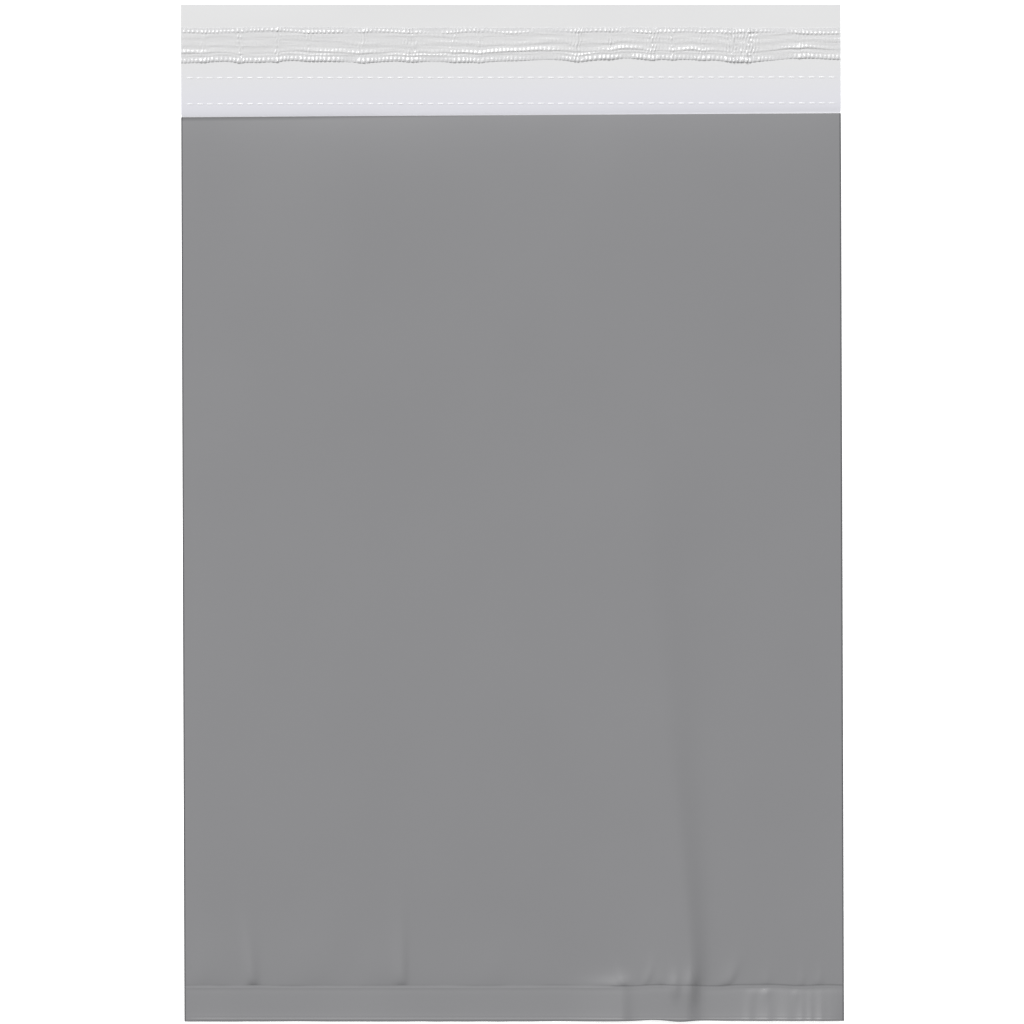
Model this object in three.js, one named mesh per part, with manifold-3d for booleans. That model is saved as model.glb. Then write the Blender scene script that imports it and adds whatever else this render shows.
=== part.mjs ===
// Poly mailer: an empty self-seal shipping bag, lying face up on its back panel.
//
// The bag is one length of blown polyethylene tube, 60 micron thick. The tube is folded flat at both
// sides and welded across near one end, which leaves a short skirt below the weld. At the other end
// the front panel is cut short to make the mouth, and the back panel runs on as the sealing lip.
// Two rows of slits across the lip mark a tear-off strip. A band of hot-melt adhesive lies across
// the lip under a film release liner, which is peeled away to close the bag.
//
// Millimetres. +X runs across the bag, +Y from the skirt to the end of the lip, and +Z is up.
// The origin is the middle of the bag's outline, on the surface that it lies on.

import * as THREE from "three";
import { mergeVertices } from "three/addons/utils/BufferGeometryUtils.js";
import Module from "manifold-3d";

// Film tube
const bagWidth = 254; // fold to fold, a 10 inch mailer
const bodyLength = 349; // cut edge of the skirt to the mouth
const lipLength = 42.6; // mouth to the cut end of the back panel
const film = 0.06; // thickness of one wall
const skirtLength = 12.6; // two loose layers below the weld
const weldWidth = 1.5; // band where the two walls are fused
const mouthSlant = 1.6; // the mouth is cut out of square, and its +X end is this much higher

// Air between the panels
const fullness = 5.3; // clear height between the walls where the bag is fullest
const foldGap = 0.1; // a fold never presses quite flat
const skirtGap = 0.4; // clear height between the skirt's cut edges
const sideRise = 46; // distance in which the front panel climbs from a side fold
const weldRise = 80; // distance in which it climbs from the weld
const mouthDip = 0.5; // how far it comes down again to the mouth's edge
const mouthDipLength = 45;

// Tear-off strip
const slitPitch = 3.85;
const slitLength = 2.3;
const slitWidth = 0.25;
const tearStripWidth = 10; // between the two rows of slits
const tearStripStart = 4.6; // mouth to the lower row
const slitMargin = 1.2; // film left whole beside each side fold

// Adhesive and its liner
const linerInset = 8.8; // end of the lip to the liner
const linerWidth = 13.2;
const linerThickness = 0.04;
const adhesiveWidth = 9.4;
const adhesiveThickness = 0.1;
const adhesiveEndGap = 1; // the band stops short of both side folds

const bagLength = bodyLength + lipLength;
const skirtEdge = -bagLength / 2;
const weldStart = skirtEdge + skirtLength;
const weldEnd = weldStart + weldWidth;
const mouth = skirtEdge + bodyLength;
const lipEnd = bagLength / 2;
const through = 1; // how far a cutting shape runs past what it cuts

// ---- Shapes -------------------------------------------------------------------------------------

const wasm = await Module();
wasm.setup();

// Rises from 0 at an edge to 1 at the given length, steep at the edge and level at the top.
const arch = (distance, length) => {
  const left = 1 - THREE.MathUtils.clamp(distance / length, 0, 1);
  return 1 - left * left;
};

// Clear height between the two walls, at a place inside the pouch.
const pouchGap = (x, y) => {
  const climb = arch(bagWidth / 2 - Math.abs(x), sideRise) * arch(y - weldEnd, weldRise);
  const dip = mouthDip * (1 - arch(mouthY(x) - y, mouthDipLength));
  return foldGap + (fullness - foldGap - dip) * climb;
};

// Clear height between the skirt's two layers: nothing at the weld, most at the cut edge.
const skirtOpening = (x, y) => {
  const sideways = arch(bagWidth / 2 - Math.abs(x), sideRise);
  const outward = (weldStart - y) / skirtLength;
  return foldGap + (skirtGap - foldGap) * sideways * outward;
};

// The mouth's edge, which is cut a little out of square.
const mouthY = (x) => mouth + (mouthSlant * x) / bagWidth;

// Places from start to end, closest together at both ends, where the film curves most.
const stations = (start, end, count) =>
  Array.from({ length: count + 1 }, (_, i) => {
    const turn = Math.PI * (i / count - 0.5);
    return (start + end) / 2 + ((end - start) / 2) * Math.sin(turn);
  });

// A box whose columns stand at xs and rows at ys, with its lower face at low(x, y) and its upper
// face at high(x, y). A row may be a function of x, for an edge that isn't square.
const slab = (xs, ys, low, high) => {
  const geometry = new THREE.BoxGeometry(1, 1, 1, xs.length - 1, ys.length - 1, 1);
  const place = geometry.getAttribute("position");
  for (let i = 0; i < place.count; i += 1) {
    const x = xs[Math.round((place.getX(i) + 0.5) * (xs.length - 1))];
    const row = ys[Math.round((place.getY(i) + 0.5) * (ys.length - 1))];
    const y = typeof row === "function" ? row(x) : row;
    place.setXYZ(i, x, y, place.getZ(i) > 0 ? high(x, y) : low(x, y));
  }
  return geometry;
};

const flatSlab = (xs, ys, low, high) => slab(xs, ys, () => low, () => high);

const toSolid = (geometry) => {
  const bare = geometry.clone().deleteAttribute("normal").deleteAttribute("uv");
  const merged = mergeVertices(bare);
  return new wasm.Manifold(
    new wasm.Mesh({
      numProp: 3,
      vertProperties: merged.getAttribute("position").array,
      triVerts: new Uint32Array(merged.index.array),
    }),
  );
};

const toGeometry = (solid) => {
  const { vertProperties, triVerts } = solid.getMesh();
  const geometry = new THREE.BufferGeometry();
  geometry.setAttribute("position", new THREE.BufferAttribute(vertProperties, 3));
  geometry.setIndex(new THREE.BufferAttribute(triVerts, 1));
  geometry.computeVertexNormals();
  return geometry;
};

// ---- Film bag -----------------------------------------------------------------------------------

const columnCount = 20;
const pouchRowCount = 16;
const columns = stations(-bagWidth / 2, bagWidth / 2, columnCount);
const innerColumns = columns.map((x) =>
  THREE.MathUtils.clamp(x, film - bagWidth / 2, bagWidth / 2 - film),
);
const pouchRows = [
  ...stations(weldEnd, mouth, pouchRowCount).slice(0, -1),
  mouthY,
];

// The outside of the tube with nothing cut out of it: skirt, weld and pouch in one run.
const tubeOutside = () => {
  const rows = [skirtEdge, weldStart, ...pouchRows];
  const top = (x, y) => {
    if (y < weldStart) return 2 * film + skirtOpening(x, y);
    return y > weldEnd ? 2 * film + pouchGap(x, y) : 2 * film;
  };
  return toSolid(slab(columns, rows, () => 0, top));
};

const lip = () =>
  toSolid(flatSlab([-bagWidth / 2, bagWidth / 2], [weldEnd, lipEnd], 0, film));

const pouchInside = () => {
  const pastMouth = (x) => mouthY(x) + through;
  return toSolid(
    slab(
      innerColumns,
      [...pouchRows, pastMouth],
      () => film,
      (x, y) => film + pouchGap(x, Math.min(y, mouthY(x))),
    ),
  );
};

const skirtInside = () =>
  toSolid(
    slab(
      innerColumns,
      [skirtEdge - through, skirtEdge, weldStart],
      () => film,
      (x, y) => film + skirtOpening(x, Math.max(y, skirtEdge)),
    ),
  );

const slitRow = (y) => {
  const count = Math.floor((bagWidth - 2 * slitMargin) / slitPitch);
  const first = (-slitPitch * (count - 1)) / 2;
  return Array.from({ length: count }, (_, i) => {
    const slit = new THREE.BoxGeometry(slitLength, slitWidth, 2 * through);
    return toSolid(slit.translate(first + i * slitPitch, y, 0));
  });
};

const filmBag = () => {
  const lowerSlits = mouth + tearStripStart;
  const cuts = [
    pouchInside(),
    skirtInside(),
    ...slitRow(lowerSlits),
    ...slitRow(lowerSlits + tearStripWidth),
  ];
  return toGeometry(tubeOutside().add(lip()).subtract(wasm.Manifold.union(cuts)));
};

// ---- Adhesive band and release liner ------------------------------------------------------------

const linerMiddle = lipEnd - linerInset - linerWidth / 2;
const across = (middle, width) => [middle - width / 2, middle + width / 2];

const adhesiveBand = () => {
  const length = bagWidth - 2 * adhesiveEndGap;
  const top = film + adhesiveThickness;
  return flatSlab(across(0, length), across(linerMiddle, adhesiveWidth), film, top);
};

const releaseLiner = () => {
  const low = film + adhesiveThickness;
  const rows = across(linerMiddle, linerWidth);
  return flatSlab(across(0, bagWidth), rows, low, low + linerThickness);
};

// ---- Assembly -----------------------------------------------------------------------------------

const part = (name, geometry, finish) => {
  const mesh = new THREE.Mesh(geometry, new THREE.MeshStandardMaterial(finish));
  mesh.name = name;
  return mesh;
};

const mailer = new THREE.Group();
mailer.name = "poly_mailer";
mailer.add(
  part("film_bag", filmBag(), { color: 0x8d8d8f, roughness: 0.45, metalness: 0 }),
  part("adhesive_band", adhesiveBand(), { color: 0xe9e6da, roughness: 0.3, metalness: 0 }),
  part("release_liner", releaseLiner(), { color: 0xe6e7ea, roughness: 0.2, metalness: 0 }),
);

export default mailer;
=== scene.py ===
import math

import bpy
import numpy as np
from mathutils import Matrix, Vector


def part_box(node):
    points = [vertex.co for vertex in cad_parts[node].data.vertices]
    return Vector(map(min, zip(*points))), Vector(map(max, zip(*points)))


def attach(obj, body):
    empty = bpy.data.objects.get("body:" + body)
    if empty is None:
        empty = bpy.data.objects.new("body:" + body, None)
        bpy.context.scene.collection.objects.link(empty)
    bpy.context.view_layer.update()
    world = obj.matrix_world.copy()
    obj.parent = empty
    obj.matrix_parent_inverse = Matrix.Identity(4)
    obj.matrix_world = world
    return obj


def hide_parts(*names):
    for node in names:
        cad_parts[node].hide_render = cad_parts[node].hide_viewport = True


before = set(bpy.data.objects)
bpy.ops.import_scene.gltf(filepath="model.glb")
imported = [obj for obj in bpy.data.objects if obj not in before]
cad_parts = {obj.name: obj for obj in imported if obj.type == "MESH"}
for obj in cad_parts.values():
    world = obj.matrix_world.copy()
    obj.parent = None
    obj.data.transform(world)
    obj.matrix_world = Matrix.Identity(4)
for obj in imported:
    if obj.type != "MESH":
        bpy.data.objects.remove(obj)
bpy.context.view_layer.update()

# ---- Film bag -----------------------------------------------------------------------------------
# One length of blown polyethylene tube, 60 micron thick, grey outside and white inside. It is folded
# flat at both sides and welded across near one end, which leaves a skirt of two loose layers. The
# front panel is cut off at the mouth, and the back panel runs on as the sealing lip, white side up.
MM = 0.001  # sizes are in millimetres, with +X across the bag and +Y from the skirt to the lip's end
low, high = (np.array(corner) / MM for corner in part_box("film_bag"))
half_width, skirt_edge, lip_end = high[0], low[1], high[1]
film = 0.06
skirt_length = 12.6
weld_width = 1.5
lip_length = 42.6
weld_start = skirt_edge + skirt_length
weld_end = weld_start + weld_width
mouth = lip_end - lip_length
mouth_slant = 1.6  # the mouth is cut this much higher at its +X end than at the other
slit_slant = 0.35  # and the rows of slits follow it a little
bag_lean = 1.4  # the tube's folds run this much out of line with its ends


def arch(distance, length):
    """Rises from 0 at an edge to 1 at the given length: one, less the square of the share left to go."""
    return 1 - (1 - np.clip(distance / length, 0, 1)) ** 2


def bump(distance, width):
    """A smooth hump, 1 at no distance: the exponential of less the square of distance over width."""
    return np.exp(-((distance / width) ** 2))


def pass_over(x, left, right, place, width):
    """Passes from the left value to the right one about a place, by a hyperbolic tangent."""
    return (left + right) / 2 + (right - left) / 2 * np.tanh((x - place) / width)


def wander(places, spacing, seed):
    """Random values from -1 to 1 along a line, one at each spacing, eased from one to the next."""
    values = np.random.default_rng(seed).uniform(-1, 1, 512)
    step = np.floor(places / spacing)
    part = places / spacing - step
    ease = part * part * (3 - 2 * part)
    index = step.astype(int)
    return values[index % 512] * (1 - ease) + values[(index + 1) % 512] * ease


def mottle(x, y, width, length, seed):
    """The same over a surface: random values from -1 to 1, in soft patches of the given size."""
    values = np.random.default_rng(seed).uniform(-1, 1, (64, 64))
    column, row = np.floor(x / width), np.floor(y / length)
    u, v = x / width - column, y / length - row
    u, v = u * u * (3 - 2 * u), v * v * (3 - 2 * v)
    i, j = column.astype(int), row.astype(int)
    lower = values[i % 64, j % 64] * (1 - u) + values[(i + 1) % 64, j % 64] * u
    upper = values[i % 64, (j + 1) % 64] * (1 - u) + values[(i + 1) % 64, (j + 1) % 64] * u
    return lower * (1 - v) + upper * v


# Creases that start at the weld: place across the bag, lean to +X for each millimetre away from the
# weld, distance to full height, distance in which it dies out, width of the left and of the right
# flank, and height.
creases = (
    (42.5, -0.42, 1.2, 5, 1.9, 1.1, 0.42),
    (50.6, 0.35, 2, 7, 1.5, 1.4, 0.42),
    (56.5, -0.2, 1, 5, 2.2, 1.5, 0.22),
    (82.4, 0.5, 1, 8, 3.6, 1.2, 0.4),
    (97, 0.1, 1, 5, 2.4, 1.6, 0.16),
    (110.8, 0.0, 0.8, 5, 1.4, 1.1, 0.2),
    (117.4, 0.1, 0.8, 5, 1.5, 1.1, 0.22),
    (-100.5, -0.12, 1.3, 19, 2, 2.3, 0.7),
    (-42.8, -0.03, 1.2, 22, 3, 1.6, 0.5),
    (-119, 0.0, 5, 15, 4, 8, 0.35),
    (-51, -0.3, 6, 14, 5, 9, 0.35),
    (-76, 0.1, 6, 20, 9, 7, 0.3),
    (-8, 0.1, 6, 14, 6, 5, 0.2),
)
crease_fan = 55  # a crease in the panel is twice as wide at this distance from the weld

# Creases that start at the weld and die away into the skirt, given in the same way.
skirt_creases = (
    (92.5, -0.1, 0.7, 5, 1.6, 1.2, 0.22),
    (97.5, -0.3, 0.7, 4, 2.2, 1.6, 0.3),
    (108.5, 0.0, 0.7, 4, 1.4, 1.2, 0.2),
)


def crease_height(x, away, table, fan=math.inf):
    """The sum of a table's creases at a distance away from the weld.

    Each is its height, times an exponential rise from the weld, times a hump along it, times a hump
    across it that has two flanks of unlike width.
    """
    height = np.zeros(np.broadcast(x, away).shape)
    for foot, lean, rise, reach, left, right, crest in table:
        across = (x - foot - lean * away) / (1 + away / fan)
        flank = np.where(across < 0, left, right)
        height += crest * (1 - np.exp(-away / rise)) * bump(away, reach) * bump(across, flank)
    return height


# Ripples of both layers: place, width of the left and of the right flank, height at the skirt's cut
# edge, share of that at the weld, and distance above the weld in which the front panel loses it. The
# second one is the long ridge that runs up into the panel.
ripples = (
    (41.2, 14, 3.4, 1.1, 0.6, 3),
    (66.0, 22, 4.4, 1.7, 1.1, 145),
    (80, 7, 8, 0.25, 0.15, 4),
    (90.4, 1.7, 1.2, 0.3, 0.15, 3),
    (97.4, 3.0, 2.2, 0.36, 0.15, 3),
    (104.6, 2.6, 3, 0.3, 0.15, 3),
    (110.8, 1.5, 1.1, 0.26, 0.15, 3),
    (114.1, 1.4, 1.1, 0.26, 0.15, 3),
    (118.1, 1.6, 1.4, 0.3, 0.15, 3),
    (-60, 20, 18, 0.2, 0.15, 4),
    (-112, 9, 7, 0.16, 0.15, 4),
)
ripple_jog = 3  # just above the weld the ripples shift this far to +X, within about jog_length
jog_length = 5
ripple_lean = 0.11  # and higher up they lean to -X by this much for each millimetre
ripple_fan = 90  # a ripple is twice as wide at this distance above the weld
handover = 4  # above the weld the back panel loses its ripples to the front one in this length

# Knots, where the weld itself stands up: place, half-width, reach below and above the weld, height.
knots = (
    (61.8, 2.2, 3.4, 4, 0.6),
    (68.2, 2.6, 5.0, 5, 0.8),
)


def ripple(x, y):
    """The sum of the ripples and knots.

    A ripple is its height, times a share that passes evenly from 1 at the cut edge to its share at the
    weld, times a hump up the panel, times a hump across it. A knot is its height times a hump across it
    and one along it.
    """
    down = np.maximum(weld_start - y, 0)
    up = np.maximum(y - weld_end, 0)
    shift = ripple_jog * (1 - np.exp(-up / jog_length)) - ripple_lean * up
    height = np.zeros(np.broadcast(x, y).shape)
    for place, left, right, crest, kept, reach in ripples:
        across = (x - place - shift) / (1 + up / ripple_fan)
        strength = (kept + (1 - kept) * down / skirt_length) * bump(up, reach)
        height += crest * strength * bump(across, np.where(across < 0, left, right))
    for place, width, below, above, crest in knots:
        height += crest * bump(x - place, width) * bump(down, below) * bump(up, above)
    return height


lip_spring = 0.4  # the lip springs up by about this much just past the mouth, most on its left
lip_spring_length = 1.7
lip_lift = 0.12  # and by this much more, evenly, to its end
swell = 0.8  # behind the mouth the whole bag stands this much off the table
swell_length = 12  # it comes down to the mouth in about this length
swell_rise = 260  # and has risen from the weld in this one


def mouth_line(x):
    """Place of the mouth's edge, which slants evenly across the bag."""
    return mouth + mouth_slant * x / (2 * half_width)


def lip_height(x, y):
    """The lip's underside: an exponential rise past the mouth, plus a climb to the end with soft waves."""
    away = np.clip((y - mouth) / lip_length, 0, 1)
    wave = 0.1 * away * mottle(x, y, width=31, length=17, seed=5)
    ruffle = 0.02 * mottle(x, y, width=9, length=7, seed=6)
    spring = lip_spring * pass_over(x, 1.45, 0.75, place=-50, width=15)
    past_mouth = np.maximum(y - mouth_line(x), 0)
    return away * (lip_lift + wave + ruffle) + spring * (1 - np.exp(-past_mouth / lip_spring_length))


def under_height(x, y):
    """The back panel's underside: an arch from the weld to the mouth, plus the ripples below it."""
    down = np.maximum(weld_start - y, 0)
    up = np.maximum(y - weld_end, 0)
    to_mouth = np.maximum(mouth_line(x) - y, 0)
    arched = swell * (1 - np.exp(-to_mouth / swell_length)) * arch(up, swell_rise)
    rippled = ripple(x, y) * np.exp(-up / handover) + 0.5 * crease_height(x, down, skirt_creases)
    return arched + rippled + lip_height(x, y)


def tight_weld(x):
    """How tight the weld was drawn: 1 towards +X, where its line is crisp, less elsewhere, and uneven."""
    uneven = 0.25 * wander(x, spacing=7, seed=3) + 0.1 * wander(x, spacing=2.3, seed=12)
    return np.clip(pass_over(x, 0.25, 1.0, place=38, width=1.5) + uneven, 0, 1.2)


fold_gap = 0.12  # air between the panels along the folds
gap_length = 2.5  # above the weld that gap opens in about this length
fullness = 2.0  # air between the panels where the bag is fullest
side_rise = 80  # distance in which the front panel climbs from a fold
weld_rise = 330  # and from the weld
mouth_sag = 1.0  # how far it comes down again to the mouth
mouth_sag_length = 24
fold_sag_share = 0.35  # share of that which is left beside the folds
sag_side_rise = 30  # the sag starts from nothing at the folds, and is full in this distance
wave_side_rise = 20  # the soft waves do the same
wave_weld_rise = 60  # and they do so from the weld
crease_side_rise = 6  # as do the creases and ripples from the folds
weld_step = 0.07  # the front panel steps up by this much where the tight weld ends
weld_step_rise = 0.05  # almost at once
weld_step_length = 6  # and comes down again in about this length


def pouch_air(x, y):
    """Air in the pouch: the gap of a fold, the weld's step, and a pillow with ripples and creases on it.

    The pillow is an arch from the folds times an arch from the weld, less a sag that grows towards the
    mouth, plus two sizes of soft waves.
    """
    to_fold = half_width - np.abs(x)
    up = np.maximum(y - weld_end, 0)
    side = arch(to_fold, side_rise)
    sag = mouth_sag * np.exp(-np.maximum(mouth_line(x) - y, 0) / mouth_sag_length)
    sag = sag * (fold_sag_share + (1 - fold_sag_share) * side) * arch(to_fold, sag_side_rise)
    soft = 0.2 * mottle(x, y, width=47, length=66, seed=1)
    soft = soft + 0.06 * mottle(x + 11, y + 7, width=19, length=31, seed=2)
    soft = soft * arch(up, wave_weld_rise) * arch(to_fold, wave_side_rise)
    pillow = side * (fullness - fold_gap) * arch(up, weld_rise) - sag + soft
    lifted = ripple(x, y) * (1 - np.exp(-up / handover)) + crease_height(x, up, creases, crease_fan)
    step = weld_step * np.exp(-up / weld_step_length) * (1 - np.exp(-up / weld_step_rise))
    gap = fold_gap * (1 - np.exp(-up / gap_length)) + step * tight_weld(x)
    return gap + np.maximum(pillow + lifted * arch(to_fold, crease_side_rise), 0)


# The hem pressed along the skirt's cut edge, as pairs of distance from the edge and height. The film
# turns down to the edge, with a fine groove further in.
hem = ((0, 0), (1.2, 0.13), (1.45, 0.04), (1.7, 0.04), (1.95, 0.06), (3.0, 0))
skirt_gap = 0.072  # air between the skirt's layers at the weld and the folds
skirt_side_rise = 8  # distance from a fold in which they are free to open
weld_bead = 0.06  # height of a low bead along the weld
bead_place = 0.4  # distance of its middle from the weld's lower side
bead_width = 0.35


def from_cut(y):
    """Distance from the skirt's cut edge."""
    return np.maximum(y - skirt_edge, 0)


def skirt_air(x, y):
    """Air in the skirt: a gap, plus an even opening down to the cut edge, the hem and the creases."""
    down = np.maximum(weld_start - y, 0)
    opening = pass_over(x, 0.1, 1.1, place=88, width=8) * down / skirt_length
    opening = opening + np.interp(from_cut(y), *np.transpose(hem))
    opening = opening + 0.5 * crease_height(x, down, skirt_creases)
    return skirt_gap + arch(half_width - np.abs(x), skirt_side_rise) * opening


def top_height(x, y):
    """The front panel's top: the back panel, two films, and the air of the pouch or of the skirt.

    The weld has a low bead, a hump near its lower side, which is highest where it was drawn least tight.
    """
    bead = weld_bead * (1.3 - tight_weld(x)) * bump(y - weld_start - bead_place, bead_width)
    below = np.where(y < weld_start, skirt_air(x, y), 0) + bead
    air = np.where(y > weld_end, pouch_air(x, y), below)
    return under_height(x, y) + 2 * film + np.maximum(air, 0)


# Where the skirt's cut edge waves: place, half-width, depth.
cut_waves = ((110, 60, 0.25), (53, 7, 0.45), (63.5, 4.5, -0.3), (73, 6, 0.2))
front_margin = 0.1  # the front layer is cut short of the bag's end by this much
back_margin = 0.2  # and the back layer by this much more
cut_fade = 1.25  # the rows nearer to the cut edge than this follow its waves


def front_cut(x):
    """How far the skirt's front layer is cut short: its margin, a sum of humps, and a little unevenness."""
    waves = sum(depth * bump(x - place, width) for place, width, depth in cut_waves)
    uneven = 0.08 * wander(x, spacing=17, seed=8) + 0.05 * wander(x, spacing=6, seed=9)
    return front_margin + waves + uneven


def back_cut(x):
    """The same for the back layer, which lies a little further back, under the front one."""
    return front_cut(x) + back_margin + 0.1 * wander(x, spacing=33, seed=10)


def weld_drift(x, y):
    """The weld's line wanders a little where it was drawn tight, and takes the film beside it along."""
    return 0.3 * wander(x, spacing=11, seed=13) * tight_weld(x) * bump(y - weld_start, 7)


slit_pitch = 3.85
slit_length = 2.3
slit_width = 0.25
slit_count = 65
slit_burr = 0.1  # the blade pushed the film up by this much beside a slit
burr_reach = 0.32  # and the film lies flat again at this distance from the slit's middle
slit_rows = (4.45, 14.45)  # distance from the mouth to each row

# Flat columns across each panel: each slit has one at both ends and one just inside each end. There are
# more in the wrinkled stretches, given by their middles and reaches, and close beside the folds.
wrinkled_stretches = ((62, 27), (110, 13), (-101, 5), (-43, 3))
slit_middles = (np.arange(slit_count) - (slit_count - 1) / 2) * slit_pitch
slit_columns = (slit_middles[:, None] + slit_length * np.array([-0.5, -0.4, 0.4, 0.5])).ravel()
between = ((slit_columns[1:] + slit_columns[:-1]) / 2)[np.diff(slit_columns) > slit_length / 2]
wrinkled = np.any([np.abs(between - middle) < reach for middle, reach in wrinkled_stretches], 0)
beside_fold = half_width - np.array([1.5, 0.7, 0.35])
flat_columns = np.sort(np.concatenate((-beside_fold, slit_columns, between[wrinkled], beside_fold)))
flat_count = len(flat_columns)

# One turn round the tube: back panel left to right, right fold, front panel right to left, left fold.
# A fold is half an ellipse. share runs from 0 on the back panel to 1 on the front panel.
turns = np.linspace(-math.pi / 2, math.pi / 2, 8)[1:-1]
fold_columns = flat_columns[-1] + (half_width - flat_columns[-1]) * np.cos(turns)
share = np.concatenate(
    (np.zeros(flat_count), (1 + np.sin(turns)) / 2, np.ones(flat_count), (1 - np.sin(turns)) / 2)
)
loop_x = np.concatenate((flat_columns, fold_columns, flat_columns[::-1], -fold_columns))
inset = film * np.concatenate(
    (np.zeros(flat_count), -np.cos(turns), np.zeros(flat_count), np.cos(turns))
)
loop_count = len(loop_x)

# Rows along the tube, close together at the hem and the weld. In the pouch a sine draws them towards
# its two ends, where the film curves most.
skirt_rows = skirt_edge + np.array([0, 0.2, 0.6, 1.2, 1.45, 1.7, 1.95, 2.5, 3.4, 5.5, 8.0, 10.0, 11.7])
weld_rows = weld_start + weld_width * np.array([0, 0.2, 0.4, 0.65, 1])
pouch_count = 41
along = np.arange(1, pouch_count + 1) / pouch_count
crowded = along - 0.965 * np.sin(2 * math.pi * along) / (2 * math.pi)
pouch_rows = weld_end + (mouth - weld_end) * crowded
tube_rows = np.concatenate((skirt_rows, weld_rows, [weld_end + 0.1], pouch_rows))
weld_first, weld_last = len(skirt_rows), len(skirt_rows) + len(weld_rows) - 1

# Rows along the lip, from the mouth to its end, with six across each row of slits.
slit_offsets = np.array([-0.5, -burr_reach, -slit_width / 2, slit_width / 2, burr_reach, 0.5])
lip_rows = mouth + np.concatenate(
    (
        [0, 0.3, 0.8, 1.6, 2.8, 3.6],
        slit_rows[0] + slit_offsets,
        [6.2, 8, 10, 12, 13.4],
        slit_rows[1] + slit_offsets,
        [16, 18, 20, 22.5, 25, 27.5, 30, 32.5, 35, 37.5, 40, 41.6, lip_length],
    )
)
slit_edges = mouth + np.array(slit_rows) - slit_width / 2  # the lower edge of each row of slits
slit_edge_rows = np.abs(lip_rows[:, None] - slit_edges).argmin(0)


turn_length = 30  # the pouch's rows turn with the slanting mouth over its last stretch of this length
slant_fade = 26  # the slant of the slits fades out over this length at the lip's end


def lean_over(x, y):
    """The bag's sides run a little out of line: every point shifts across, in step with its place along."""
    return x - bag_lean * y / (lip_end - skirt_edge)


def follow_mouth(x, y):
    """Rows turn in step with x: fully at the mouth, less away from it, and the rows of slits a little."""
    inside = np.clip(1 - (mouth - y) / turn_length, 0, 1)
    outside = np.clip(1 - (y - mouth) / slit_rows[0], 0, 1)
    at_slits = (1 - outside) * np.clip((lip_end - y) / slant_fade, 0, 1)
    turned = mouth_slant * np.where(y < mouth, inside, outside) + slit_slant * at_slits
    return y + turned * x / (2 * half_width)


least_gap = 0.03  # the pouch and the skirt end at the weld in a wall of this height


def tube_points(rows, inner):
    """Each row is one turn round the tube: x from the loop, and z a share of the way up to the top.

    The inner surface is the same turn, about half way up, with the air between the films as its height.
    """
    x = np.broadcast_to(loop_x, (len(rows), loop_count))
    y = np.broadcast_to(rows[:, None], x.shape)
    panel_x = np.clip(x, flat_columns[0], flat_columns[-1])
    under, top = under_height(panel_x, y), top_height(panel_x, y)
    z = under + share * (top - under)
    if inner:
        air = np.maximum(top - under - 2 * film, least_gap)
        z = (under + top) / 2 + (share - 0.5) * air
        x = x + inset
    cut_back = share * front_cut(x) + (1 - share) * back_cut(x)
    cut_back = cut_back * np.clip(1 - from_cut(y) / cut_fade, 0, 1)
    placed = follow_mouth(x, y) + cut_back + weld_drift(x, y)
    return np.stack((lean_over(x, y), placed, z), -1).reshape(-1, 3)


lip_widening = 0.9  # past the mouth the lip takes in the film of both folds in this length


def lip_points(inner):
    """Each row runs across the lip, at the lip's height, with the film added for its upper face.

    At a slit its two edges part in a lens shape, one less a high power of the distance from the slit's
    middle, and the film rises by the burr. Elsewhere the two rows close up to a fifth of its width.
    """
    full_columns = flat_columns * half_width / flat_columns[-1]
    widened = np.clip((lip_rows[1:, None] - mouth) / lip_widening, 0, 1)
    x = flat_columns + (full_columns - flat_columns) * widened
    y = np.broadcast_to(lip_rows[1:, None], x.shape)
    to_slit = np.abs(flat_columns[:, None] - slit_middles).min(1) / (slit_length / 2)
    lens = np.clip(1 - to_slit**9, 0, 1)
    z = lip_height(x, y) + (film if inner else 0)
    for row in slit_rows:
        offset = y - mouth - row
        at_edge = np.abs(np.abs(offset) - slit_width / 2) < 0.01
        z = z + at_edge * slit_burr * lens
        y = np.where(at_edge, y - 0.8 * offset * (1 - lens), y)
    return np.stack((lean_over(x, y), follow_mouth(x, y), z), -1).reshape(-1, 3)


def cells(grid, flip=False):
    """The four-cornered faces of a grid of vertex numbers, turned over if flip."""
    faces = np.stack((grid[:-1, :-1], grid[:-1, 1:], grid[1:, 1:], grid[1:, :-1]), -1)
    return faces[..., ::-1] if flip else faces


def numbered(start, rows, columns):
    """A grid of vertex numbers that counts up from start."""
    return start + np.arange(rows * columns).reshape(rows, columns)


def closed(grid):
    """The same grid with its first column repeated at the end."""
    return np.concatenate((grid, grid[:, :1]), 1)


def mesh_piece(name, points, groups, materials):
    """A piece from points in millimetres and, for each material, the faces that have it.

    It is shaded smooth, except at edges where the surface turns by more than 50 degrees.
    """
    faces = [np.concatenate([part.reshape(-1, 4) for part in group]) for group in groups]
    mesh = bpy.data.meshes.new(name)
    mesh.from_pydata((points * MM).tolist(), [], np.concatenate(faces).tolist())
    slots = np.repeat(np.arange(len(faces)), [len(group) for group in faces])
    mesh.polygons.foreach_set("material_index", slots.astype(np.int32))
    mesh.shade_smooth()
    mesh.set_sharp_from_angle(angle=math.radians(50))
    for material in materials:
        mesh.materials.append(material)
    piece = bpy.data.objects.new(name, mesh)
    bpy.context.scene.collection.objects.link(piece)
    return piece


def linear(hex_colour):
    """The linear RGBA of an sRGB hex colour."""
    srgb = np.array([int(hex_colour[i : i + 2], 16) for i in (1, 3, 5)]) / 255
    rgb = np.where(srgb <= 0.04045, srgb / 12.92, ((srgb + 0.055) / 1.055) ** 2.4)
    return (*rgb.tolist(), 1.0)


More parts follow.
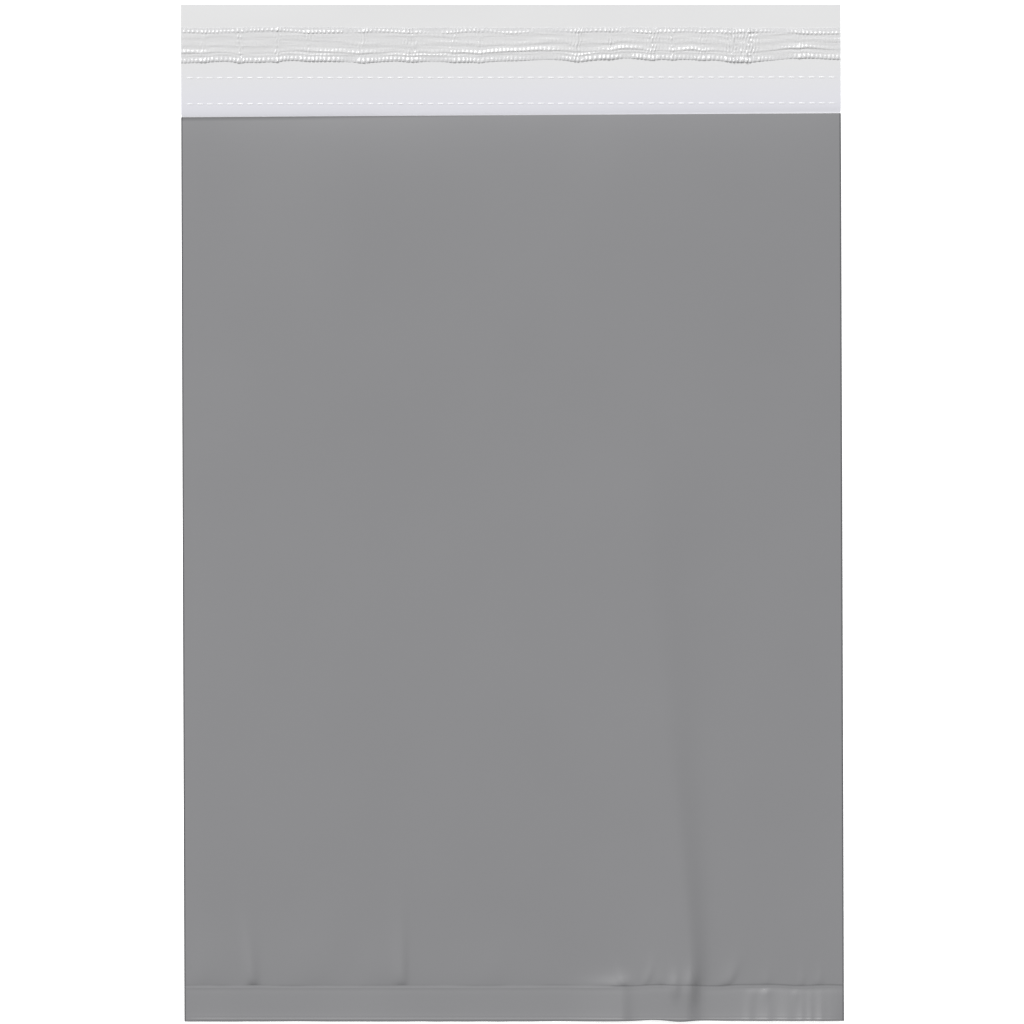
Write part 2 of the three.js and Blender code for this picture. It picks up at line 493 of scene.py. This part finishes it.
def add(tree, kind, inputs, **settings):
    """Adds a node with its settings. Each input gets a value, or a link from the socket given."""
    made = tree.nodes.new(kind)
    for name, value in settings.items():
        setattr(made, name, value)
    for name, value in inputs.items():
        if isinstance(value, bpy.types.NodeSocket):
            tree.links.new(value, made.inputs[name])
        else:
            made.inputs[name].default_value = value
    return made


def film_material(name, pale, deep, shade_and_tint, roughness):
    """Blown film: soft clouds of colour, fine die lines and grain, and a second colour where an attribute
    asks for it: painted shade on the grey face, a cooler tint on the white one.

    The clouds are as wide as the uneven bands in a blown tube. The die's scratches and the film's grain
    are really finer than a tenth of a millimetre, and are drawn coarser, so that they show.
    """
    cloud_width, line_width, line_stretch, grain_width = 45 * MM, 2.2 * MM, 70, 0.9 * MM
    material = bpy.data.materials.new(name)
    material.use_nodes = True
    tree = material.node_tree
    tree.nodes.clear()
    place = add(tree, "ShaderNodeTexCoord", {}).outputs["Object"]
    clouds = add(tree, "ShaderNodeTexNoise", {"Vector": place, "Scale": 1 / cloud_width, "Detail": 3.0})
    stretched = add(tree, "ShaderNodeMapping", {"Vector": place, "Scale": (1 / line_stretch, 1, 1)})
    lines = add(
        tree,
        "ShaderNodeTexNoise",
        {"Vector": stretched.outputs["Vector"], "Scale": 1 / line_width, "Detail": 2.0},
    )
    grain = add(tree, "ShaderNodeTexNoise", {"Vector": place, "Scale": 1 / grain_width, "Detail": 2.0})
    blend = add(
        tree,
        "ShaderNodeMix",
        {"Factor": clouds.outputs["Fac"], "A": linear(pale), "B": linear(deep)},
        data_type="RGBA",
    )
    shade_and_tint_attribute = add(tree, "ShaderNodeAttribute", {}, attribute_name="shade_and_tint_share")
    # On the grey face this mix paints shade onto the folds and the skirt's cut edge; on the white one it is
    # a cooler tint.
    shaded_and_tinted = add(
        tree,
        "ShaderNodeMix",
        {"Factor": shade_and_tint_attribute.outputs["Fac"], "A": blend.outputs[2], "B": linear(shade_and_tint)},
        data_type="RGBA",
    )
    lined = add(
        tree,
        "ShaderNodeBump",
        {"Height": lines.outputs["Fac"], "Strength": 0.5, "Distance": 0.012 * MM},
    )
    grained = add(
        tree,
        "ShaderNodeBump",
        {
            "Height": grain.outputs["Fac"],
            "Strength": 0.5,
            "Distance": 0.008 * MM,
            "Normal": lined.outputs["Normal"],
        },
    )
    shader = add(
        tree,
        "ShaderNodeBsdfPrincipled",
        {
            "Base Color": shaded_and_tinted.outputs[2],
            "Roughness": roughness,
            "IOR": 1.51,
            "Normal": grained.outputs["Normal"],
        },
    )
    add(tree, "ShaderNodeOutputMaterial", {"Surface": shader.outputs["BSDF"]})
    return material


# The grey face is satin, with painted shade on the folds and along the skirt's cut edge, where the film
# turns away from the light. The white one is brighter and a little glossier, and cooler beside the mouth,
# where the grey behind it shows through.
grey_face = film_material("grey_polyethylene_film", "#88888a", "#858587", "#58585a", 0.42)
white_face = film_material("white_polyethylene_film", "#e1e1e1", "#dfdfe0", "#dddde4", 0.38)

outer_points = tube_points(tube_rows, inner=False)
skirt_points = tube_points(tube_rows[: weld_first + 1], inner=True)
pouch_points = tube_points(tube_rows[weld_last:], inner=True)
lip_under, lip_top = lip_points(inner=False), lip_points(inner=True)
film_points = np.concatenate((outer_points, skirt_points, pouch_points, lip_under, lip_top))

outer = numbered(0, len(tube_rows), loop_count)
skirt_inside = numbered(outer.max() + 1, weld_first + 1, loop_count)
pouch_inside = numbered(skirt_inside.max() + 1, len(tube_rows) - weld_last, loop_count)
lip_outer = numbered(pouch_inside.max() + 1, len(lip_rows) - 1, flat_count)
lip_inner = numbered(lip_outer.max() + 1, len(lip_rows) - 1, flat_count)
lip_outer = np.concatenate((outer[-1:, :flat_count], lip_outer))
lip_inner = np.concatenate((pouch_inside[-1:, :flat_count], lip_inner))

# The pouch and the skirt end at the weld in a narrow wall between the two panels. Both halves of the
# turn run from the middle of the left fold to the middle of the right one.
back_half, front_half = np.split(np.roll(np.arange(loop_count), len(turns) // 2), 2)
front_half = front_half[::-1]
pouch_end = np.stack((pouch_inside[0, back_half], pouch_inside[0, front_half]))
skirt_end = np.stack((skirt_inside[-1, back_half], skirt_inside[-1, front_half]))

# The front panel's cut edge, from the end of the back panel's right side round to its left side.
mouth_turn = np.append(np.arange(flat_count - 1, loop_count), 0)
mouth_edge = np.stack((outer[-1, mouth_turn], pouch_inside[-1, mouth_turn]))
skirt_cut = closed(np.stack((outer[0], skirt_inside[0])))

# A slit takes out the cells between its two rows, and gets a wall on each of its four sides.
cell_middles = (flat_columns[:-1] + flat_columns[1:]) / 2
is_slit = np.zeros((len(lip_rows) - 1, flat_count - 1), bool)
is_slit[slit_edge_rows] = np.abs(cell_middles[:, None] - slit_middles).min(1) < slit_length / 2
row, column = np.nonzero(is_slit)
left_row, left_column = np.nonzero(is_slit & ~np.roll(is_slit, 1, axis=1))
right_row, right_column = np.nonzero(is_slit & ~np.roll(is_slit, -1, axis=1))
slit_sides = [
    np.stack((lip_outer[start], lip_inner[start], lip_inner[end], lip_outer[end]), -1)
    for start, end in (
        ((row, column), (row, column + 1)),
        ((row + 1, column + 1), (row + 1, column)),
        ((left_row + 1, left_column), (left_row, left_column)),
        ((right_row, right_column + 1), (right_row + 1, right_column + 1)),
    )
]

grey_faces = [
    cells(closed(outer), flip=True),
    cells(lip_outer, flip=True)[~is_slit],
    cells(mouth_edge, flip=True),
    cells(skirt_cut),
]
white_faces = [
    cells(closed(skirt_inside)),
    cells(closed(pouch_inside)),
    cells(pouch_end, flip=True),
    cells(skirt_end),
    cells(lip_inner)[~is_slit],
    cells(np.stack((lip_outer[:, -1], lip_inner[:, -1]))),
    cells(np.stack((lip_outer[:, 0], lip_inner[:, 0])), flip=True),
    cells(np.stack((lip_outer[-1], lip_inner[-1])), flip=True),
    *slit_sides,
]
film_bag = mesh_piece("mailer_film", film_points, (grey_faces, white_faces), (grey_face, white_face))

# The painted shade is full on the folds, and fades over the first rows of the skirt's cut edge. On the lip
# the tint fades from the mouth towards the adhesive.
# The painted shade along the skirt's cut edge fades within this distance.
edge_shade_length = 0.25
mouth_tint = 0.9
mouth_tint_length = 17
shade_and_tint_share = np.zeros(len(film_points))
at_fold = np.abs(loop_x) > flat_columns[-2]
shade_and_tint_share[outer] = np.maximum(at_fold, np.exp(-from_cut(tube_rows)[:, None] / edge_shade_length))
past_mouth = (lip_rows[1:, None] - mouth) / mouth_tint_length
shade_and_tint_share[lip_inner[1:]] = mouth_tint * np.clip(1.2 - past_mouth, 0, 1)
shade_and_tint = film_bag.data.attributes.new("shade_and_tint_share", "FLOAT", "POINT")
shade_and_tint.data.foreach_set("value", shade_and_tint_share.astype(np.float32))
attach(film_bag, "root")
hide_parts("film_bag")

# ---- Adhesive band ------------------------------------------------------------------------------
# Hot-melt pressure-sensitive adhesive, laid across the lip as one warm, pale stripe that never dries.
# It is tacky and a little uneven, and it only shows through the liner and at its two ends.
low, high = (np.array(corner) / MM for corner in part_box("adhesive_band"))
glue_low, glue_high, glue_thickness = low[1], high[1], high[2] - low[2]
glue_columns = np.linspace(low[0], high[0], 260)
glue_rows = np.linspace(glue_low, glue_high, 14)


def box_faces(count_across, count_along):
    """The faces of a closed slab: an upper and a lower grid, joined by a strip round their edges."""
    upper = numbered(0, count_along, count_across)
    under = numbered(upper.size, count_along, count_across)
    sides = (
        (upper[0], under[0], True),
        (upper[-1], under[-1], False),
        (upper[:, 0], under[:, 0], False),
        (upper[:, -1], under[:, -1], True),
    )
    strips = [cells(np.stack((a, b)), flip) for a, b, flip in sides]
    return [cells(upper), cells(under, flip=True), *strips]


def glue_share(x, y):
    """Share of its full thickness: half at both sides, rising exponentially inwards, and a little uneven."""
    to_side = np.minimum(y - glue_low, glue_high - y)
    return 1 - 0.5 * np.exp(-to_side / 0.5) - 0.12 * (1 + mottle(x, y, width=7, length=2, seed=21))


glue_x, glue_y = np.meshgrid(glue_columns, glue_rows)
glue_y = glue_y + 0.15 * wander(glue_x, spacing=13, seed=20)
glue_under = lip_height(glue_x, glue_y) + film
glue_top = glue_under + glue_thickness * glue_share(glue_x, glue_y)
glue_points = np.concatenate(
    [np.stack((lean_over(glue_x, glue_y), glue_y, z), -1).reshape(-1, 3) for z in (glue_top, glue_under)]
)

# Hot-melt rubber adhesive, rolled on: off-white and glossy, in soft lumps a few millimetres across.
lump_width = 3 * MM
glue = bpy.data.materials.new("hot_melt_adhesive")
glue.use_nodes = True
glue.node_tree.nodes.clear()
place = add(glue.node_tree, "ShaderNodeTexCoord", {}).outputs["Object"]
lumps = add(glue.node_tree, "ShaderNodeTexNoise", {"Vector": place, "Scale": 1 / lump_width, "Detail": 2.0})
shape = add(
    glue.node_tree,
    "ShaderNodeBump",
    {"Height": lumps.outputs["Fac"], "Strength": 0.5, "Distance": 0.03 * MM},
)
warmth = add(
    glue.node_tree,
    "ShaderNodeMix",
    {"Factor": lumps.outputs["Fac"], "A": linear("#efeeea"), "B": linear("#e9e8e3")},
    data_type="RGBA",
)
shader = add(
    glue.node_tree,
    "ShaderNodeBsdfPrincipled",
    {"Base Color": warmth.outputs[2], "Roughness": 0.22, "IOR": 1.48, "Normal": shape.outputs["Normal"]},
)
add(glue.node_tree, "ShaderNodeOutputMaterial", {"Surface": shader.outputs["BSDF"]})

adhesive = mesh_piece(
    "adhesive_stripe", glue_points, (box_faces(len(glue_columns), len(glue_rows)),), (glue,)
)
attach(adhesive, "root")
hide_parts("adhesive_band")

# ---- Release liner ------------------------------------------------------------------------------
# A clear film ribbon, siliconed on its lower face, laid over the adhesive. It shrank when the bag was
# sealed, so both of its free margins gathered into rows of small puckers, its middle drew up in
# streaks along the stripe, and here and there a pinch runs right across it.
low, high = (np.array(corner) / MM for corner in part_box("release_liner"))
liner_low, liner_high, liner_thickness = low[1], high[1], high[2] - low[2]
liner_middle = (liner_high - liner_low) / 2
pucker_pitch = 1.6
pucker_height = 0.44
pucker_crest = 0.5  # the lower row's crests lie this far in from the edge
pucker_front = 0.8  # width of their flank towards the edge
pucker_back = 1.0  # and of the one towards the adhesive
valley_width = 0.29
valley_depth = 0.9
upper_margin = 2.15  # the upper row of puckers starts about this far from the upper edge
upper_puckers = 1.3  # they are this many times as high as the lower ones
upper_valleys = 1.5  # and the valleys between them this many times as wide
liner_offset = 0.45  # the lower edge was laid this far in
liner_slant = 0.006  # and out of line by this much for each millimetre across the bag

# Pinches: place across the bag, half-width, height.
pinches = (
    (-118, 1.6, 0.2),
    (-104.5, 1.3, 0.36),
    (-90.2, 1.1, 0.36),
    (-78, 2.2, 0.18),
    (-57, 1.6, 0.2),
    (-38.5, 2.4, 0.4),
    (-22, 1.4, 0.2),
    (-12, 1.2, 0.2),
    (25.5, 2.3, 0.4),
    (38.5, 1.5, 0.3),
    (54.5, 2.4, 0.38),
    (62, 1.6, 0.3),
    (74, 1.6, 0.28),
    (85, 2.8, 0.5),
    (91.5, 3.0, 0.55),
    (111, 1.2, 0.2),
)
pinch_pitch = 1.25
pinch_lean = 0.12

# Stretches where the margins hardly gather: place across the bag, half-width.
calm_stretches = ((-29.5, 5), (12.5, 6), (104, 5), (-62, 3), (45, 2.5))

# Streaks: distance from the lower edge, how far they stray, lengths in which they climb and run out,
# height, seed. The first two are the lines along the edge of the adhesive.
streaks = (
    (2.30, 0.10, 0.14, 0.75, 0.32, 31),
    (3.50, 0.20, 0.14, 1.30, 0.46, 32),
    (5.30, 0.50, 0.14, 0.70, 0.12, 33),
    (6.10, 0.40, 0.45, 1.60, 0.34, 34),
    (7.60, 0.60, 0.14, 0.80, 0.14, 35),
    (8.70, 0.40, 0.14, 0.60, 0.10, 36),
    (9.30, 0.25, 0.60, 1.20, 0.32, 37),
)


def pucker_strength(x):
    """How strongly the margins gather: an uneven value, less a share in calm stretches, more at pinches."""
    strength = 0.8 + 0.3 * wander(x, spacing=9.5, seed=30)
    for place, reach in calm_stretches:
        strength = strength * (1 - 0.8 * bump(x - place, reach))
    for place, width, height in pinches:
        strength = strength + 0.8 * height * bump(x - place, 1.6 * width)
    return np.clip(strength, 0.1, 1.3)


def ridge(from_foot, rise, reach):
    """Nothing before its foot, then an exponential rise times a hump that runs out behind the crest."""
    return (1 - np.exp(-np.maximum(from_foot, 0) / rise)) * bump(from_foot, reach)


def valleys(x, seed, width):
    """1 on a pucker, less a hump of the given width at each valley, with the pitch a little uneven."""
    phase = x / pucker_pitch + 0.35 * wander(x, spacing=6, seed=seed)
    phase = phase + 0.1 * wander(x, spacing=1.7, seed=seed + 1)
    to_valley = pucker_pitch * np.abs(phase - np.round(phase))
    return 1 - valley_depth * bump(to_valley, width)


def pucker_row(x, profile, seed, width):
    """A row of puckers: height, times uneven sizes, times valleys, times profile, times strength."""
    size = 1 + 0.25 * wander(x, spacing=pucker_pitch, seed=seed + 2)
    return pucker_height * size * valleys(x, seed, width) * profile * pucker_strength(x)


def pinch_height(x, from_low):
    """The sum of the pinches: in each, a few winding folds side by side, under one hump, in patches."""
    height = np.zeros(x.shape)
    patches = 0.45 + 0.55 * mottle(x, from_low, width=1.3, length=0.9, seed=60)
    for number, (place, width, crest) in enumerate(pinches):
        across = x - place - pinch_lean * (from_low - liner_middle) * (-1) ** number
        winding = 1.4 * np.sin(1.3 * from_low + place)
        wave = 0.5 + 0.5 * np.cos(2 * math.pi * across / pinch_pitch + winding)
        height = height + crest * wave * bump(across, width) * patches
    return height


def liner_lift(x, from_low, from_high):
    """Height above the adhesive: both rows of puckers, the streaks along the middle, and the pinches."""
    upper_foot = upper_margin + 0.5 * wander(x, spacing=13, seed=72)
    lower_flank = np.where(from_low < pucker_crest, pucker_front, pucker_back)
    height = pucker_row(x, bump(from_low - pucker_crest, lower_flank), 40, valley_width)
    upper_profile = ridge(upper_foot - from_high, rise=0.25, reach=0.8)
    upper_row = pucker_row(x, upper_profile, 50, upper_valleys * valley_width)
    height = height + upper_puckers * upper_row
    for place, stray, rise, reach, crest, seed in streaks:
        foot = place + stray * wander(x, spacing=21, seed=seed)
        foot = foot + 0.15 * wander(x, spacing=5, seed=seed + 20)
        vary = 0.55 + 0.45 * wander(x, spacing=14, seed=seed + 50)
        vary = vary * (0.6 + 0.4 * valleys(x, seed + 30, valley_width))
        height = height + crest * vary * ridge(from_low - foot, rise, reach)
    return height + pinch_height(x, from_low)


# Rows keep their distance from the nearer edge, close together where the puckers and the streaks are.
# Both edges wander, and at a pinch they are drawn towards the skirt.
liner_count = 1190
liner_columns = np.linspace(low[0], high[0], liner_count)
dips = sum(height * bump(liner_columns - place, 1.5 * width) for place, width, height in pinches)
lower_edge = liner_low + liner_offset + liner_slant * liner_columns
lower_edge = lower_edge + 0.6 * wander(liner_columns, spacing=14, seed=70) - 1.2 * dips
upper_edge = liner_high + 0.25 * wander(liner_columns, spacing=23, seed=71) - 0.6 * dips
near_low = np.array(
    [0, 0.12, 0.3, 0.6, 0.9, 1.25, 1.65, 2.1, 2.4, 2.6, 2.75, 3.0, 3.4, 3.7, 3.85, 4.1, 4.5, 5.0]
)
near_high = np.array([2.55, 2.4, 2.25, 2.0, 1.7, 1.4, 1.0, 0.5, 0])
middle_shares = np.linspace(0, 1, 15)[1:-1, None]
lower_part = lower_edge + near_low[:, None]
upper_part = upper_edge - near_high[:, None]
middle_part = lower_part[-1] * (1 - middle_shares) + upper_part[0] * middle_shares
liner_y = np.concatenate((lower_part, middle_part, upper_part))
liner_x = np.broadcast_to(liner_columns, liner_y.shape)
from_low, from_high = liner_y - lower_edge, upper_edge - liner_y

# The liner lies on the adhesive. Its lower edge comes down beside it towards the lip, and its upper
# edge stands up a little between the valleys of its puckers.
edge_drop = 0.9 * glue_thickness * np.exp(-from_low / 0.5)
edge_lift = 0.06 * valleys(liner_x, 50, 2 * valley_width) * np.exp(-from_high / 0.7)
liner_under = lip_height(liner_x, liner_y) + film + 1.03 * glue_thickness
liner_under = liner_under + liner_lift(liner_x, from_low, from_high) + edge_lift - edge_drop
liner_points = np.concatenate(
    [
        np.stack((lean_over(liner_x, liner_y), liner_y, z), -1).reshape(-1, 3)
        for z in (liner_under + liner_thickness, liner_under)
    ]
)

# Clear blown film with a silicone coat: half transparent, so that it looks like a milky skin on the lip,
# and shiny enough for a white glint on each pucker. The crinkle is finer than the mesh can carry.
crinkle_width, crinkle_stretch = 0.9 * MM, 9
liner = bpy.data.materials.new("siliconed_liner_film")
liner.use_nodes = True
liner.node_tree.nodes.clear()
place = add(liner.node_tree, "ShaderNodeTexCoord", {}).outputs["Object"]
stretched = add(
    liner.node_tree, "ShaderNodeMapping", {"Vector": place, "Scale": (1 / crinkle_stretch, 1, 1)}
)
crinkle = add(
    liner.node_tree,
    "ShaderNodeTexNoise",
    {"Vector": stretched.outputs["Vector"], "Scale": 1 / crinkle_width, "Detail": 3.0},
)
shape = add(
    liner.node_tree,
    "ShaderNodeBump",
    {"Height": crinkle.outputs["Fac"], "Strength": 0.6, "Distance": 0.22 * MM},
)
shader = add(
    liner.node_tree,
    "ShaderNodeBsdfPrincipled",
    {
        "Base Color": linear("#f4f4f5"),
        "Roughness": 0.2,
        "IOR": 1.5,
        "Coat Weight": 1.0,
        "Coat Roughness": 0.16,
        "Alpha": 0.62,
        "Normal": shape.outputs["Normal"],
    },
)
add(liner.node_tree, "ShaderNodeOutputMaterial", {"Surface": shader.outputs["BSDF"]})

release_liner = mesh_piece(
    "liner_ribbon", liner_points, (box_faces(liner_count, len(liner_y)),), (liner,)
)
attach(release_liner, "root")
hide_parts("release_liner")

# ---- Studio -------------------------------------------------------------------------------------
# A white floor, soft light from everywhere, and one large soft light from beyond the lip and a little
# to the left, far enough away to be as strong at one end of the bag as at the other.
scene = bpy.context.scene
floor_half = 12.0
floor_height = -0.02 * MM  # so that it doesn't share a plane with the film lying on it
floor_corners = ((-1, -1), (1, -1), (1, 1), (-1, 1))
floor_mesh = bpy.data.meshes.new("floor")
floor_mesh.from_pydata(
    [(x * floor_half, y * floor_half, floor_height) for x, y in floor_corners], [], [(0, 1, 2, 3)]
)
floor = bpy.data.objects.new("floor", floor_mesh)
scene.collection.objects.link(floor)

# Matt white paper, lit from behind as well, so that it stays white all round the bag.
paper = bpy.data.materials.new("white_paper")
paper.use_nodes = True
paper.node_tree.nodes.clear()
shader = add(
    paper.node_tree,
    "ShaderNodeBsdfPrincipled",
    {
        "Base Color": linear("#f4f4f4"),
        "Roughness": 1.0,
        "Specular IOR Level": 0.0,
        "Emission Color": (1.0, 1.0, 1.0, 1.0),
        "Emission Strength": 0.7,
    },
)
add(paper.node_tree, "ShaderNodeOutputMaterial", {"Surface": shader.outputs["BSDF"]})
floor_mesh.materials.append(paper)

world = bpy.data.worlds.new("studio")
scene.world = world
world.use_nodes = True
world.node_tree.nodes["Background"].inputs["Color"].default_value = (1.0, 1.0, 1.0, 1.0)
world.node_tree.nodes["Background"].inputs["Strength"].default_value = 0.26

key_height, key_turn = math.radians(48), math.radians(22)
key = bpy.data.lights.new("key", "SUN")
key.angle = math.radians(32)
key.energy = 3.33
key_light = bpy.data.objects.new("key", key)
key_light.rotation_euler = (math.pi / 2 - key_height, 0, math.pi + key_turn)
scene.collection.objects.link(key_light)

# The camera looks straight down, from far enough away that the bag's sides don't converge.
camera_distance = 4.0
view_middle = (-0.15 * MM, 0.44 * MM)
view_margin = 1.006784  # the view is this many times as wide as the bag is long
view_width = view_margin * (lip_end - skirt_edge) * MM
camera = bpy.data.cameras.new("camera")
camera.lens = camera.sensor_width * camera_distance / view_width
camera_object = bpy.data.objects.new("camera", camera)
camera_object.location = (*view_middle, camera_distance)
scene.collection.objects.link(camera_object)
scene.camera = camera_object
scene.view_settings.view_transform = "Standard"
